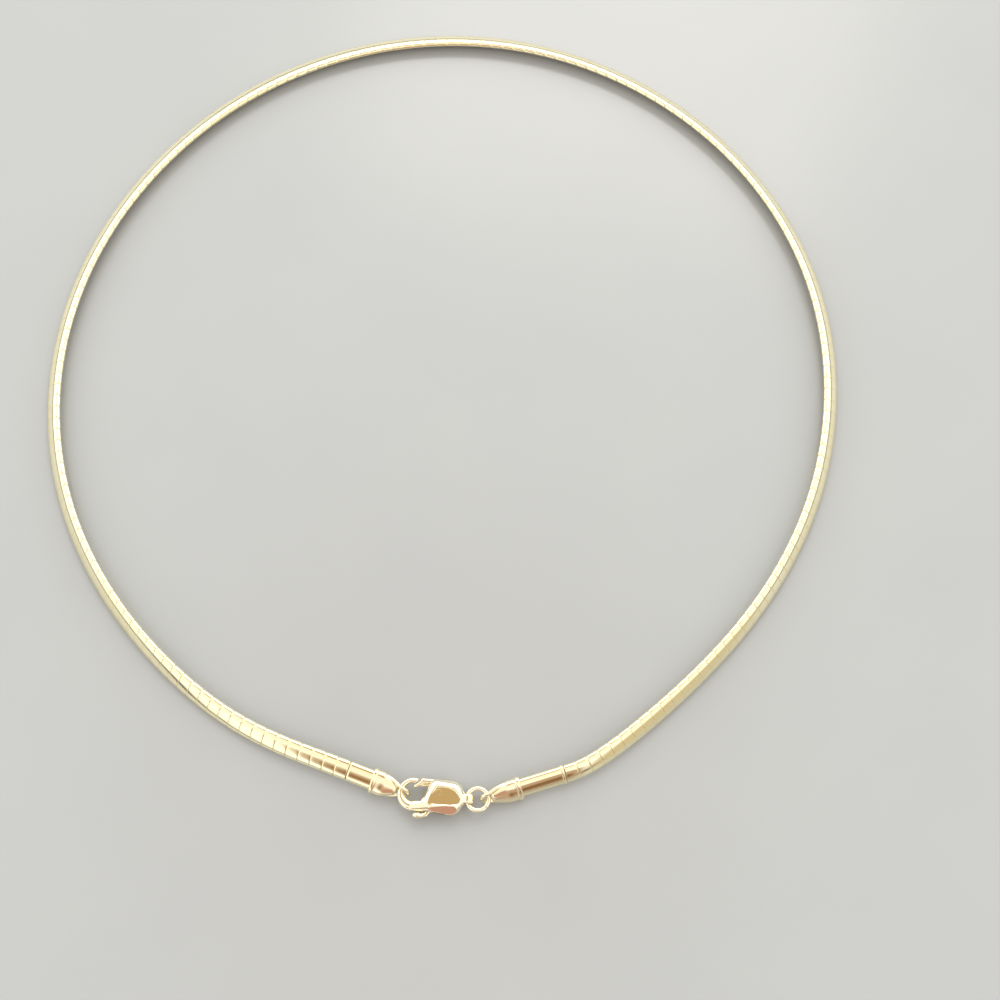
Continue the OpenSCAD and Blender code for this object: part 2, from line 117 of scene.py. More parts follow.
def oval(width, thick, angle):
    """A point of the plates' rounded oval section, its crown at +Y."""
    c, s = math.cos(math.radians(angle)), math.sin(math.radians(angle))
    bend = 2 / FULLNESS
    return (width / 2 * math.copysign(abs(c) ** bend, c),
            thick * (CROWN_SHARE if s > 0 else 1 - CROWN_SHARE) * math.copysign(abs(s) ** bend, s))


def rest_height(lean):
    """How high the middle of the section lies when it leans and rests on its outer edge."""
    c, s = math.cos(math.radians(lean)), math.sin(math.radians(lean))
    edge = [oval(BAND_W, BAND_T, a + REST_STEP / 2) for a in range(0, 360, REST_STEP)]
    return -min(x * s + y * c for x, y in edge)


def route_line():
    """Points along the band: x, y, lean, length so far."""
    # the curve cuts the corners of its points, so these are set out by as much
    set_out = 1 + math.radians(ROUTE_STEP) ** 2 / 6
    left_end = LEFT_RIM - LEFT_SLEEVE_L * heading(-LEFT_SLOPE)
    right_end = RIGHT_RIM + RIGHT_SLEEVE_L * heading(RIGHT_SLOPE)
    start, stop = np.array([*right_end, RIGHT_CAP_LEAN]), np.array([*left_end, LEFT_CAP_LEAN])
    second = np.array([*(right_end + STRAIGHT_L * heading(RIGHT_SLOPE)), RIGHT_CAP_LEAN])
    last = np.array([*(left_end - STRAIGHT_L * heading(-LEFT_SLOPE)), LEFT_CAP_LEAN])
    bends = [np.array([*(LOOP_MIDDLE + LOOP_R * r * set_out * heading(a)), lean])
             for a, r, lean in ROUTE]
    c = [2 * start - second, start, second, *bends, last, stop, 2 * stop - last]
    line = []
    for i in range(1, len(c) - 2):
        for t in np.arange(ROUTE_PIECES) / ROUTE_PIECES:
            line.append(((1 - t) ** 3 * c[i - 1] + (3 * t ** 3 - 6 * t ** 2 + 4) * c[i]
                         + (-3 * t ** 3 + 3 * t ** 2 + 3 * t + 1) * c[i + 1]
                         + t ** 3 * c[i + 2]) / 6)
    line = np.array([*line, stop])
    steps = np.hypot(*np.diff(line[:, :2], axis=0).T)
    return np.column_stack([line, np.concatenate([[0], np.cumsum(steps)])])


route = route_line()
route_l = route[-1, 3]
plate_count = round(route_l / PLATE_PITCH)
pitch = route_l / plate_count


def along(s, column):
    """A column of the route, x, y or lean, at a length along it."""
    return float(np.interp(s, route[:, 3], route[:, column]))


def section_frame(at, z, turn, lean):
    """X towards the upper inner edge, Y out of the domed face, Z along the route."""
    h, a = math.radians(turn), math.radians(lean)
    across = Vector((-math.cos(a) * math.sin(h), math.cos(a) * math.cos(h), math.sin(a)))
    out = Vector((math.sin(a) * math.sin(h), -math.sin(a) * math.cos(h), math.cos(a)))
    ahead = Vector((math.cos(h), math.sin(h), 0))
    m = Matrix((across, out, ahead)).transposed().to_4x4()
    m.translation = Vector((at[0], at[1], z))
    return m


def band_frame(s):
    """The section's frame at a length along the band, which both caps lift at its ends."""
    a, b = max(0, s - SIGHT), min(route_l, s + SIGHT)
    turn = math.degrees(math.atan2(along(b, 1) - along(a, 1), along(b, 0) - along(a, 0)))
    lean = along(s, 2)
    z = rest_height(lean)
    for to_end, end_lean in ((s, RIGHT_CAP_LEAN), (route_l - s, LEFT_CAP_LEAN)):
        c = min(1, max(0, 1 - to_end / LIFT_RUN))
        z += (CAP_Z - rest_height(end_lean)) * c * c * (3 - 2 * c)
    return section_frame((along(s, 0), along(s, 1)), z, turn, lean)


def face_out(bm):
    bmesh.ops.recalc_face_normals(bm, faces=bm.faces)
    return bm


def sweep(rings, around, where):
    """A skin of rings, each with as many points around; where(ring, i) places a ring's point i."""
    bm = bmesh.new()
    bmesh.ops.create_grid(bm, x_segments=len(rings) - 1, y_segments=around, size=0.5)
    for v in bm.verts:
        ring = rings[round((v.co.x + 0.5) * (len(rings) - 1))]
        v.co = where(ring, round((v.co.y + 0.5) * around) % around)
    bmesh.ops.remove_doubles(bm, verts=bm.verts, dist=WELD)
    return face_out(bm)


def close_ends(bm):
    bmesh.ops.holes_fill(bm, edges=[e for e in bm.edges if e.is_boundary], sides=0)
    face_out(bm)


def to_mesh(bm, name):
    """A bmesh as a mesh; the bmesh is used up."""
    mesh = bpy.data.meshes.new(name)
    bm.to_mesh(mesh)
    bm.free()
    return mesh


def in_scene(name, data):
    obj = bpy.data.objects.new(name, data)
    bpy.context.scene.collection.objects.link(obj)
    return obj


def finished(bm, name, material, body, slot, *nodes, sharp=40):
    """Turns a mesh made in millimetres into a piece of the necklace that rides on a body."""
    bmesh.ops.scale(bm, vec=(MM, MM, MM), verts=bm.verts)
    for f in bm.faces:
        f.smooth = True
    for e in bm.edges:
        e.smooth = not (len(e.link_faces) == 2 and e.calc_face_angle(0) > math.radians(sharp))
    piece = in_scene(name, to_mesh(bm, name))
    piece.data.materials.append(material)
    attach(piece, body)
    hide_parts(*nodes)
    return piece


def linear(hex_colour):
    """The linear colour of an sRGB hex value."""
    parts = [int(hex_colour[i:i + 2], 16) / 255 for i in (1, 3, 5)]
    return (*[c / 12.92 if c <= 0.04045 else ((c + 0.055) / 1.055) ** 2.4 for c in parts], 1)


def blank_tree(owner):
    """The emptied node tree of a material or of the world."""
    owner.use_nodes = True
    owner.node_tree.nodes.clear()
    return owner.node_tree


def add_node(tree, kind, settings=None, links=None):
    """Adds a node; settings fill its fields or free sockets, links are socket: (node, output)."""
    node = tree.nodes.new(kind)
    for key, value in (settings or {}).items():
        if isinstance(key, str) and hasattr(node, key):
            setattr(node, key, value)
        else:
            node.inputs[key].default_value = value
    for key, (source, output) in (links or {}).items():
        tree.links.new(source.outputs[output], node.inputs[key])
    return node


def polished_gold(name, pale, deep, smooth, dull, scratch_mm, wear):
    """Polished 14 carat yellow gold: a mirror with hairline scratches and faint smudges from wear.
    Its colour runs from pale to deep, and its roughness from smooth to dull where it is smudged."""
    material = bpy.data.materials.new(name)
    tree = blank_tree(material)
    place = add_node(tree, "ShaderNodeTexCoord")
    # alloy and smudges vary over some 6 mm
    smudge = add_node(tree, "ShaderNodeTexNoise",
                      {"Scale": 1000 / SMUDGE_MM, "Detail": 3.0, "Roughness": 0.6},
                      {"Vector": (place, "Object")})
    tone = add_node(tree, "ShaderNodeMix",
                    {"data_type": "RGBA", 6: linear(pale), 7: linear(deep)}, {0: (smudge, "Fac")})
    haze = add_node(tree, "ShaderNodeMapRange",
                    {"From Min": 0.35, "From Max": 0.7, "To Min": smooth, "To Max": dull},
                    {"Value": (smudge, "Fac")})
    # handling scratches lie about scratch_mm apart and are up to 0.02 mm deep
    grit = add_node(tree, "ShaderNodeTexNoise",
                    {"Scale": 1000 / scratch_mm, "Detail": 2.0, "Roughness": 0.5},
                    {"Vector": (place, "Object")})
    relief = add_node(tree, "ShaderNodeBump", {"Strength": wear, "Distance": 0.02 * MM},
                      {"Height": (grit, "Fac")})
    gold = add_node(tree, "ShaderNodeBsdfPrincipled", {"Metallic": 1.0},
                    {"Base Color": (tone, 2), "Roughness": (haze, "Result"),
                     "Normal": (relief, "Normal")})
    add_node(tree, "ShaderNodeOutputMaterial", None, {"Surface": (gold, "BSDF")})
    return material


# rolled and mirror-polished, so the band shows as one clear highlight that the seams break up
plate_gold = polished_gold("mirror_polished_gold_sheet", "#faf3d2", "#f6ebc0", 0.05, 0.11, 0.5,
                           0.08)


def band_half(name, first, last, node):
    rings = []
    for plate in range(first, last):
        tilt, roll, shift = (random_hand.uniform(-1, 1) for _ in range(3))
        for place, depth, corner in PLATE_RINGS:
            # a plate is loose but for the seam, which it shares with the one before
            loose = 0 if place == 0 else 1
            off = SET_OFF * loose
            m = band_frame(plate * pitch + place * pitch / PLATE_PITCH)
            m = m @ Matrix.Translation((off * shift, off * tilt * (place - PLATE_PITCH / 2), 0))
            m = m @ Matrix.Rotation(math.radians(SET_ROLL) * roll * loose, 4, "Z")
            rings.append((m, depth, corner))
    rings.append((band_frame(last * pitch), *PLATE_RINGS[0][1:]))
    lip, lip_inside = (math.degrees(math.asin((LIP_SLOT / w) ** (FULLNESS / 2)))
                       for w in (BAND_W, INSIDE_W))

    def where(ring, i):
        m, depth, corner = ring
        if i < FACE_POINTS:
            turn = (360 - 2 * lip) * i / (FACE_POINTS - 1)
            x, y = oval(BAND_W - 2 * (depth + corner), BAND_T - 2 * depth, -90 + lip + turn)
        else:
            turn = (360 - 2 * lip_inside) * (i - FACE_POINTS) / (INSIDE_POINTS - 1)
            x, y = oval(INSIDE_W, INSIDE_T, 270 - lip_inside - turn)
        return m @ Vector((x, y, 0))

    bm = sweep(rings, FACE_POINTS + INSIDE_POINTS, where)
    close_ends(bm)
    return finished(bm, name, plate_gold, "necklace", "plates", node)


band_half("band_right", 0, plate_count // 2, "plates_right")
band_half("band_left", plate_count // 2, plate_count, "plates_left")

# The core: a flat strip woven from fine gold wire, which the plates are crimped over. It shows only
# through the slot between the folded lips, and keeps its plain solid under a woven finish.
WEAVE_MM = 0.3
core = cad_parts["core_strip"]
woven = bpy.data.materials.new("woven_gold_wire_strip")
tree = blank_tree(woven)
place = add_node(tree, "ShaderNodeTexCoord")
# the wires lie 0.3 mm apart and 0.06 mm proud, which gives a dull grain; the low gaps between them
# are painted darker, as painted shade
weave = add_node(tree, "ShaderNodeTexVoronoi", {"Scale": 1000 / WEAVE_MM},
                 {"Vector": (place, "Object")})
relief = add_node(tree, "ShaderNodeBump", {"Strength": 0.7, "Distance": 0.06 * MM},
                  {"Height": (weave, "Distance")})
# painted shade: the colour runs from dark brown-gold in the low spots of the weave to pale gold on
# the raised wires
painted_gap_shade = add_node(tree, "ShaderNodeMix",
                 {"data_type": "RGBA", 6: linear("#8f7440"), 7: linear("#e0c684")},
                 {0: (weave, "Distance")})
gold = add_node(tree, "ShaderNodeBsdfPrincipled", {"Metallic": 1.0, "Roughness": 0.35},
                {"Base Color": (painted_gap_shade, 2), "Normal": (relief, "Normal")})
add_node(tree, "ShaderNodeOutputMaterial", None, {"Surface": (gold, "BSDF")})
core.data.materials.clear()
core.data.materials.append(woven)

# The end sleeves: seamless tubes drawn to the band's own section, soldered over its ends. The right
# one is longer and ends in a narrow collar where it meets the plates.
COLLAR_L = 0.5
COLLAR_H = 0.14
# how far a sleeve runs into its cap, and how far it stays off the first plate
SLEEVE_IN = 0.84
SEAM = 0.085
# rings of a plain end and of one with a collar: place from the end, height over the band, in mm
PLAIN_END = [(0, -0.08), (0.02, -0.02), (0.07, 0)]
COLLAR_END = [
    (0, COLLAR_H - 0.09), (0.03, COLLAR_H - 0.03), (0.09, COLLAR_H), (COLLAR_L - 0.09, COLLAR_H),
    (COLLAR_L - 0.03, COLLAR_H - 0.03), (COLLAR_L, COLLAR_H - 0.09), (COLLAR_L + 0.02, 0),
]
# the smooth stretch: where it starts after either end, how much shorter than the tube it is
PLAIN_START = 0.3
COLLAR_START = 0.8
RUN_LESS = 1
RUN_STEPS = 6
# the bevel of the end that is inside the cap
SLEEVE_EDGE = 0.05
TUBE_POINTS = 64
# drawn and mirror-polished without a seam, so the room lies on it in long straight streaks
sleeve_gold = polished_gold("mirror_polished_gold_tube", "#faf2d0", "#f5e9be", 0.04, 0.1, 0.7, 0.07)
left_end = section_frame(LEFT_RIM, CAP_Z, -LEFT_SLOPE, LEFT_CAP_LEAN)
right_end = (section_frame(RIGHT_RIM, CAP_Z, RIGHT_SLOPE, RIGHT_CAP_LEAN)
             @ Matrix.Scale(-1, 4, (0, 0, 1)))


def sleeve(name, length, end, start, m, node):
    z0, z1 = SEAM - length, SLEEVE_IN
    run = [(z0 + start + (z1 - z0 - RUN_LESS) * k / RUN_STEPS, 0) for k in range(RUN_STEPS + 1)]
    rings = [(z0, -SHEET_T), *((z0 + z, grow) for z, grow in end), *run,
             (z1 - SLEEVE_EDGE, 0), (z1, -SLEEVE_EDGE), (z1, -SHEET_T), (z0, -SHEET_T)]

    def where(ring, i):
        z, grow = ring
        x, y = oval(BAND_W + 2 * grow, BAND_T + 2 * grow, 360 * (i + 0.5) / TUBE_POINTS)
        return m @ Vector((x, y, z))

    bm = sweep(rings, TUBE_POINTS, where)
    return finished(bm, name, sleeve_gold, "necklace", "sleeves", node)


sleeve("sleeve_left", LEFT_SLEEVE_L, PLAIN_END, PLAIN_START, left_end, "left_sleeve")
sleeve("sleeve_right", RIGHT_SLEEVE_L, COLLAR_END, COLLAR_START, right_end, "right_sleeve")

# The end caps: cast in gold, with a rim around the sleeve's end and a body that tapers to a neck.
# Each has a bent wire loop soldered into it: the left one holds the clasp, the right one the ring.
LEFT_CAP_L = 4.0
RIGHT_CAP_L = 4.7
RIM_OUT = 0.46
RIM_UP = 0.28
RIM_W = BAND_W + 2 * RIM_OUT
RIM_T = BAND_T + 2 * RIM_UP
# the pocket for the sleeve, its mouth opened out over the first bit by a chamfer
POCKET_L = 0.9
POCKET_GAP = 0.06
POCKET_W = BAND_W + 2 * POCKET_GAP
POCKET_T = BAND_T + 2 * POCKET_GAP
CHAMFER_L = 0.05
CHAMFER_W = 0.08
# the wire loop: its two legs start on the cap's inside, bow out a little and meet in a round bend
LOOP_WIRE = 0.56
LOOP_BEND_R = 1.38
LOOP_ROOT = 0.5
LOOP_ROOT_R = 1.56
LOOP_LEAN = 70
LEG_BOW = 0.16
LEG_STEPS = 8
BEND_STEPS = range(4, 177, 8)
WIRE_POINTS = 16
# what the loops hold, the gap to it and the room besides
BEND_W = 1.1
RING_WIRE = 0.72
HOLD_GAP = 0.12
LOOP_ROOM = 0.34
# share of the cap's length, shares of the rim's width and thickness
CAP_RINGS = [
    (0, 0.95, 0.92), (0.012, 0.985, 0.975), (0.035, 1, 1), (0.11, 1, 1), (0.138, 0.985, 0.975),
    (0.15, 0.95, 0.93), (0.165, 0.935, 0.905), (0.2, 0.935, 0.91), (0.3, 0.95, 0.945),
    (0.42, 0.94, 0.955), (0.52, 0.885, 0.93), (0.62, 0.81, 0.885), (0.72, 0.71, 0.82),
    (0.81, 0.61, 0.76), (0.89, 0.53, 0.71), (0.95, 0.465, 0.65), (0.985, 0.39, 0.53),
    (1, 0.3, 0.42), (1, 0.15, 0.2), (1, 0, 0),
]
CAP_POINTS = 48
# cast and then buffed by hand, so its mirror is a little softer and wavier than the sheet's
cap_gold = polished_gold("polished_cast_gold", "#faf2d4", "#f5e8c0", 0.07, 0.15, 0.8, 0.14)


def wire(path, radius, sides):
    """A round wire along the points of a path, closed at both ends."""
    last = len(path) - 1
    heads = [(path[min(i + 1, last)] - path[max(i - 1, 0)]).normalized() for i in range(last + 1)]
    rings = [(p, d, radius) for p, d in zip(path, heads)]
    rings = [(path[0], heads[0], 0), *rings, (path[-1], heads[-1], 0)]

    def where(ring, i):
        p, d, r = ring
        side = Vector((0, 1, 0)).cross(d).normalized()
        a = 2 * math.pi * i / sides
        return p + r * (math.cos(a) * side + math.sin(a) * d.cross(side))

    return sweep(rings, sides, where)


def joined(parts):
    """Several bmeshes in one; they are used up."""
    whole = bmesh.new()
    for bm in parts:
        mesh = to_mesh(bm, "part")
        whole.from_mesh(mesh)
        bpy.data.meshes.remove(mesh)
    return whole


def cap_loop(length, held, lean):
    """The loop of a cap, in the cap's frame."""
    far = length + held + 2 * HOLD_GAP + LOOP_ROOM
    bend = Vector((0, 0, far + LOOP_WIRE / 2 - LOOP_BEND_R))
    twist = math.radians(LOOP_LEAN - lean)
    side = Vector((math.cos(twist), math.sin(twist), 0))
    root = Vector((LOOP_ROOT_R, 0, LOOP_ROOT * length))
    leg = []
    for k in range(LEG_STEPS):
        bow = LEG_BOW * math.sin(math.pi * k / LEG_STEPS)
        leg.append(root.lerp(bend + LOOP_BEND_R * side, k / LEG_STEPS) + Vector((bow, 0, 0)))
    turn = [bend + LOOP_BEND_R * (math.cos(a) * side + Vector((0, 0, math.sin(a))))
            for a in map(math.radians, BEND_STEPS)]
    back = [Vector((-p.x, -p.y, p.z)) for p in reversed(leg)]
    return wire(leg + turn + back, LOOP_WIRE / 2, WIRE_POINTS)


def cap(name, length, held, lean, m, node):
    pocket = [(POCKET_L, 0, 0), (POCKET_L, POCKET_W, POCKET_T), (CHAMFER_L, POCKET_W, POCKET_T),
              (0, POCKET_W + CHAMFER_W, POCKET_T + CHAMFER_W)]
    rings = pocket + [(z * length, w * RIM_W, t * RIM_T) for z, w, t in CAP_RINGS]

    def where(ring, i):
        z, w, t = ring
        x, y = oval(w, t, 360 * (i + 0.5) / CAP_POINTS)
        return Vector((x, y, z))

    bm = joined([sweep(rings, CAP_POINTS, where), cap_loop(length, held, lean)])
    bm.transform(m)
    if m.determinant() < 0:
        bmesh.ops.reverse_faces(bm, faces=bm.faces)
    return finished(bm, name, cap_gold, "necklace", "caps", node)


cap("cap_left", LEFT_CAP_L, BEND_W, LEFT_CAP_LEAN, left_end, "left_cap")
cap("cap_right", RIGHT_CAP_L, RING_WIRE, RIGHT_CAP_LEAN, right_end, "right_cap")

# The jump ring: round gold wire bent to a ring and closed with pliers, its cut a hairline at the
# lower right. It lies flat through the clasp's tail eye and the right cap's loop.
RING_D = 4.0
RING_MID_R = (RING_D - RING_WIRE) / 2
RING_CUT = 0.08
RING_TURN = -42
RING_STEPS = 64
SNAP = 1e-5
HOOK_AT = np.array([-5.5979, -65.0823])
CLASP_T = 3.1
CLASP_Z = CLASP_T / 2
CLASP_REACH = 10.1
CLASP_SLOPE = 5
RING_AT = (HOOK_AT + CLASP_REACH * heading(-CLASP_SLOPE)
           + RING_MID_R * heading(-CLASP_SLOPE / 2))
# drawn wire, burnished by its die, so a thin white highlight runs round it
wire_gold = polished_gold("polished_gold_wire", "#fbf5e0", "#f7edcc", 0.06, 0.12, 0.6, 0.1)
bm = bmesh.new()
bmesh.ops.create_circle(bm, cap_ends=True, segments=WIRE_POINTS, radius=RING_WIRE / 2)
bmesh.ops.rotate(bm, verts=bm.verts, cent=(0, 0, 0), matrix=Matrix.Rotation(math.pi / 2, 3, "X"))
bmesh.ops.translate(bm, verts=bm.verts, vec=(RING_MID_R, 0, 0))
bmesh.ops.spin(bm, geom=bm.faces[:] + bm.edges[:] + bm.verts[:], cent=(0, 0, 0), axis=(0, 0, 1),
               steps=RING_STEPS, angle=2 * math.pi - 2 * math.asin(RING_CUT / 2 / RING_MID_R),
               use_duplicate=False)
bmesh.ops.remove_doubles(bm, verts=bm.verts, dist=SNAP)
face_out(bm)
bm.transform(Matrix.Translation((*RING_AT, CLASP_Z))
             @ Matrix.Rotation(math.radians(RING_TURN), 4, "Z"))
finished(bm, "ring", wire_gold, "necklace", "ring", "jump_ring")

# The clasp: one gold casting, tumble-polished so that its edges are soft. A hook runs from the body
# around an eye to its tip. The body has a sunk panel with a raised border on each face, a slanted
# lower side, a slot for the lever, and a crosswise eye at its tail.
HOOK_R = 2.5
EYE_R = 1.3
EYE_SHIFT = 0.3
BEND_H = 1.0
HOOK_H = BEND_H + 0.05
HOOK_MID = Vector((HOOK_R - BEND_W / 2, 0, 0))
EYE_MID = Vector((EYE_R + BEND_W / 2, EYE_SHIFT, 0))
# angles of the hook's bend from the stem to its tip
HOOK_STEPS = [280, *range(270, 75, -5), 74]
PIVOT = Vector((0.57 * CLASP_REACH, 0.21 * HOOK_R, 0))
LEVER_T = 0.9
SLOT_GAP = 0.1
SLOT_FRONT = 0.37 * CLASP_REACH
SLOT_BACK = PIVOT.x + 1.2
TAIL_D = 2.1
TAIL_HOLE = 1.35
TAIL_L = 1.4
TAIL_X = CLASP_REACH + 0.08
# rings of the tail eye: how far its rounding leaves the hole or the rim, share of its length
TAIL_INSIDE = [(0.1, -0.5), (0.02, -0.46), (0, -0.38), (0, 0), (0, 0.38), (0.02, 0.46), (0.1, 0.5)]
TAIL_OUTSIDE = [(0.18, 0.5), (0.05, 0.45), (0, 0.3), (0, -0.3), (0.05, -0.45), (0.18, -0.5)]
# the slanted lower side: a point of it, and its slope
LOW_SIDE = Vector((0, -2.64, 0.5))
LOW_SLOPE = math.radians(38)
# places along the clasp's reach and across its hook's radius, radius as a share of the hook's,
# height as a share of the clasp's thickness
BODY = [
    (0.535, 0.54, 0.46, 0.80), (0.455, -0.46, 0.54, 0.76), (0.762, 0.17, 0.81, 1.00),
    (0.760, -0.34, 0.74, 0.96), (0.916, 0.00, 0.34, 0.60),
]
# the sunk panel: its height over the middle, and its corners in mm from the hook's bend
PANEL_Z = 1.2
PANEL = [
    (4.1, -1.35), (4.6, -0.1), (5.4, 1.3), (6.4, 1.42), (7.4, 1.34), (8.3, 0.98), (9.0, 0.3),
    (9.3, -0.35), (8.9, -1.1), (7.7, -1.35), (5.5, -1.4),
]
ROUND_POINTS = 32
# share of a pebble's radius or half height that its rounded edge takes, and how near to its axis or
# middle a point counts as on it
PEBBLE_EDGE = 0.85
NEAR = 0.001
# how finely the casting is blended, and how many times it is smoothed
CLASP_GRAIN = 0.05
CLASP_TUMBLES = 10
clasp_place = (Matrix.Translation((*HOOK_AT, CLASP_Z))
               @ Matrix.Rotation(math.radians(-CLASP_SLOPE), 4, "Z"))
# tumbled with steel shot, so it mirrors brightly but its lines melt a little at the edges
clasp_gold = polished_gold("tumble_polished_cast_gold", "#fbf4dc", "#f6eac8", 0.06, 0.13, 0.9, 0.1)


def ball():
    bm = bmesh.new()
    bmesh.ops.create_uvsphere(bm, u_segments=ROUND_POINTS, v_segments=ROUND_POINTS // 2, radius=1)
    return bm


def pebble(x, y, r, h):
    """A round-edged disc, which castings are blended from."""
    bm = ball()
    e = PEBBLE_EDGE * min(r, h / 2)
    for v in bm.verts:
        flat = math.hypot(v.co.x, v.co.y)
        reach = (r - e) / max(flat, NEAR) * (flat > NEAR) + e
        rise = math.copysign(h / 2 - e, v.co.z) * (abs(v.co.z) > NEAR)
        v.co = Vector((x + reach * v.co.x, y + reach * v.co.y, rise + e * v.co.z))
    return bm


def hull(rows):
    """The skin stretched over some pebbles."""
    bm = joined([pebble(*row) for row in rows])
    bmesh.ops.delete(bm, geom=bm.faces[:], context="FACES_ONLY")
    bmesh.ops.convex_hull(bm, input=bm.verts)
    bmesh.ops.delete(bm, geom=[v for v in bm.verts if not v.link_faces], context="VERTS")
    return face_out(bm)


def applied(obj):
    """The object's mesh with its modifiers applied, as a bmesh; the object is used up."""
    bpy.context.view_layer.update()
    deps = bpy.context.evaluated_depsgraph_get()
    mesh = bpy.data.meshes.new_from_object(obj.evaluated_get(deps))
    bm = bmesh.new()
    bm.from_mesh(mesh)
    bpy.data.meshes.remove(mesh)
    bpy.data.objects.remove(obj)
    return bm


def cast(parts, grain, rounds):
    """Blends overlapping parts into one casting with softened edges."""
    obj = in_scene("casting", to_mesh(joined(parts), "casting"))
    remesh = obj.modifiers.new("one_casting", "REMESH")
    remesh.mode, remesh.voxel_size = "VOXEL", grain
    soften = obj.modifiers.new("tumbled", "SMOOTH")
    soften.factor, soften.iterations = 0.5, rounds
    return applied(obj)


def less(bm, cutters):
    """A casting with holes cut out of it."""
    obj = in_scene("casting", to_mesh(bm, "casting"))
    cutters = [in_scene("cutter", to_mesh(cutter, "cutter")) for cutter in cutters]
    for cutter in cutters:
        away = obj.modifiers.new("away", "BOOLEAN")
        away.operation, away.object, away.solver = "DIFFERENCE", cutter, "EXACT"
    bm = applied(obj)
    for cutter in cutters:
        bpy.data.objects.remove(cutter)
    return bm


def prism(outline, low, high):
    """An upright block from its outline."""
    bm = bmesh.new()
    face = bm.faces.new([bm.verts.new((x, y, low)) for x, y in outline])
    top = bmesh.ops.extrude_face_region(bm, geom=[face])["geom"]
    bmesh.ops.translate(bm, vec=(0, 0, high - low),
                        verts=[v for v in top if isinstance(v, bmesh.types.BMVert)])
    return face_out(bm)


def drill(radius, length):
    """A round cutter along Z."""
    bm = bmesh.new()
    bmesh.ops.create_cone(bm, cap_ends=True, segments=ROUND_POINTS, radius1=radius, radius2=radius,
                          depth=length)
    return bm


def hook_bar():
    """The hook's bend from the stem to its tip."""
    rings = []
    for a in HOOK_STEPS:
        e = Vector((*heading(a), 0))
        rings.append((HOOK_MID + HOOK_R * e, EYE_MID + EYE_R * e, HOOK_H))
    rings = [(rings[0][0], rings[0][0], 0), *rings, (rings[-1][1], rings[-1][1], 0)]

    def where(ring, i):
        outer, inner, tall = ring
        a = 2 * math.pi * (i + 0.5) / ROUND_POINTS
        p = (outer + inner) / 2 + (outer - inner) / 2 * math.cos(a)
        return Vector((p.x, p.y, tall / 2 * math.sin(a)))

    return sweep(rings, ROUND_POINTS, where)


def tail_eye():
    rings = [(TAIL_HOLE / 2 + leave, y) for leave, y in TAIL_INSIDE]
    rings += [(TAIL_D / 2 - leave, y) for leave, y in TAIL_OUTSIDE]

    def where(ring, i):
        r, y = ring
        a = 2 * math.pi * i / ROUND_POINTS
        return Vector((TAIL_X + r * math.cos(a), y * TAIL_L, r * math.sin(a)))

    return sweep([*rings, rings[0]], ROUND_POINTS, where)


def clasp_body():
    rows = [(x * CLASP_REACH, y * HOOK_R, r * HOOK_R, h * CLASP_T) for x, y, r, h in BODY]
    low, high = EYE_SHIFT - EYE_R, EYE_SHIFT + EYE_R
    gate_side, stem_side = (x - r for x, y, r, h in rows[:2])
    opening = [(EYE_MID.x, low), (stem_side, low), (gate_side, high), (EYE_MID.x, high)]
    stem_r = (HOOK_R + low) / 2
    stem = hull([(HOOK_MID.x, stem_r - HOOK_R, stem_r, BEND_H), rows[1]])
    stem = less(stem, [prism(opening, -CLASP_T, CLASP_T)])
    body = hull(rows)
    for up in (1, -1):
        bmesh.ops.bisect_plane(body, geom=body.verts[:] + body.edges[:] + body.faces[:], dist=SNAP,
                               clear_outer=True, plane_co=(0, LOW_SIDE.y, up * LOW_SIDE.z),
                               plane_no=(0, -math.sin(LOW_SLOPE), up * math.cos(LOW_SLOPE)))
        close_ends(body)
    body = less(body, [prism(opening, -CLASP_T, CLASP_T), prism(PANEL, PANEL_Z, CLASP_T),
                       prism(PANEL, -CLASP_T, -PANEL_Z)])
    half = LEVER_T / 2 + SLOT_GAP
    slot = prism([(SLOT_FRONT, -2 * HOOK_R), (SLOT_BACK, -2 * HOOK_R), (SLOT_BACK, 2 * HOOK_R),
                  (SLOT_FRONT, 2 * HOOK_R)], -half, half)
    bore = drill(TAIL_HOLE / 2, 3 * TAIL_L)
    bore.transform(Matrix.Translation((TAIL_X, 0, 0)) @ Matrix.Rotation(math.pi / 2, 4, "X"))
    bm = cast([hook_bar(), tail_eye(), body, stem], CLASP_GRAIN, CLASP_TUMBLES)
    bm = less(bm, [slot, bore])
    bm.transform(clasp_place)
    return finished(bm, "clasp", clasp_gold, "necklace", "clasp", "clasp_body")


clasp_body()

# The lever: a flat gold casting that is the hook's gate, turns on the rivet and ends in a thumb tab
# outside the body. It shuts behind the hook's tip, and a spring in the body holds it there.
GATE_GAP = 0.1
GATE_SWING_R = 0.36 * CLASP_REACH - GATE_GAP
NOSE_TOP = EYE_SHIFT + EYE_R - 2 * GATE_GAP
RIVET_R = 0.42
BORE_GAP = 0.03
TAB_W = 0.98
TAB_L = 1.85
TAB_H = 1.5
TAB_MID = Vector((0.29 * CLASP_REACH, -HOOK_R - SLOT_GAP - TAB_W / 2, 0))
ARM_W = 0.6
ARM_END = Vector((SLOT_FRONT + SLOT_GAP + ARM_W / 2, TAB_MID.y + 0.15, 0))
BOSS = (PIVOT.x, PIVOT.y, 0.95, LEVER_T)
# the gate's radius at its front, and at its back, which lies so far before the pivot
GATE_R = 0.42
GATE_BACK_R = 0.44
GATE_BACK = 0.85
# pebbles of the nose and of the web between it and the gate: place in mm from the spot where the
# nose meets its swing, radius, height
NOSE = [(0.8, 0.4, 0.36, LEVER_T), (0.3, 0.1, 0.25, 0.85), (-0.2, -0.22, 0.22, 0.8)]
WEB = [(0.45, 0.05, 0.22, 0.5), (2.1, 0.18, 0.3, 0.5)]
ARM = [BOSS, (ARM_END.x, ARM_END.y, ARM_W / 2, LEVER_T),
       (TAB_MID.x, TAB_MID.y, 0.4 * TAB_W, LEVER_T)]
LEVER_GRAIN = 0.045
LEVER_TUMBLES = 8
